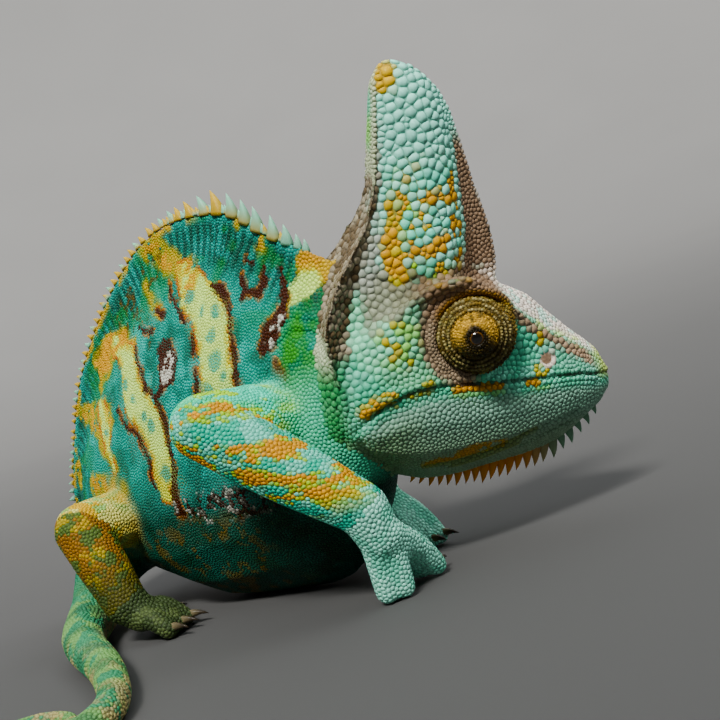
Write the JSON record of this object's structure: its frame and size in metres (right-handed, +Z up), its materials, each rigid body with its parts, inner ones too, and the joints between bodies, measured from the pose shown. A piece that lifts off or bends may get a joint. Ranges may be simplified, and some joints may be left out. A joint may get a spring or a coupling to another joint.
{
  "type": "veiled chameleon figure",
  "caption": "Life-size still veiled chameleon: tall casque, turret eyes, spined back and throat, gripping feet and a tail curled flat on the floor.",
  "frame": {"origin": "centre of the bounding box at floor level, under the chest", "axes": "+Z up; +X to the snout's side, as the head points; +Y away from the side that the picture shows"},
  "size_m": [0.1427, 0.1311, 0.1006],
  "materials": {
    "head_skin": "scaled skin, satin, pale aqua with orange-yellow blotches",
    "eye_turret_skin": "fine granular skin, olive and gold",
    "eye": "wet gloss",
    "torso_skin": "scaled skin, satin, teal with yellow bands and brown marks",
    "limb_skin": "scaled skin, satin, aqua with orange blotches",
    "tail_skin": "scaled skin, satin, banded green"
  },
  "bodies": {
    "root": {"head": "head_skin", "casque": "head_skin", "lower_jaw": "head_skin", "eye_turret_right": "eye_turret_skin", "eye_turret_left": "eye_turret_skin", "eye_right": "eye", "eye_left": "eye", "neck": "torso_skin", "torso": "torso_skin", "tail_base": "tail_skin", "tail_mid": "tail_skin", "tail_tip": "tail_skin", "upper_arm_right": "limb_skin", "forearm_right": "limb_skin", "hand_right": "limb_skin", "upper_arm_left": "limb_skin", "forearm_left": "limb_skin", "hand_left": "limb_skin", "thigh_right": "limb_skin", "shin_right": "limb_skin", "foot_right": "limb_skin", "thigh_left": "limb_skin", "shin_left": "limb_skin", "foot_left": "limb_skin"}
  },
  "joints": []
}
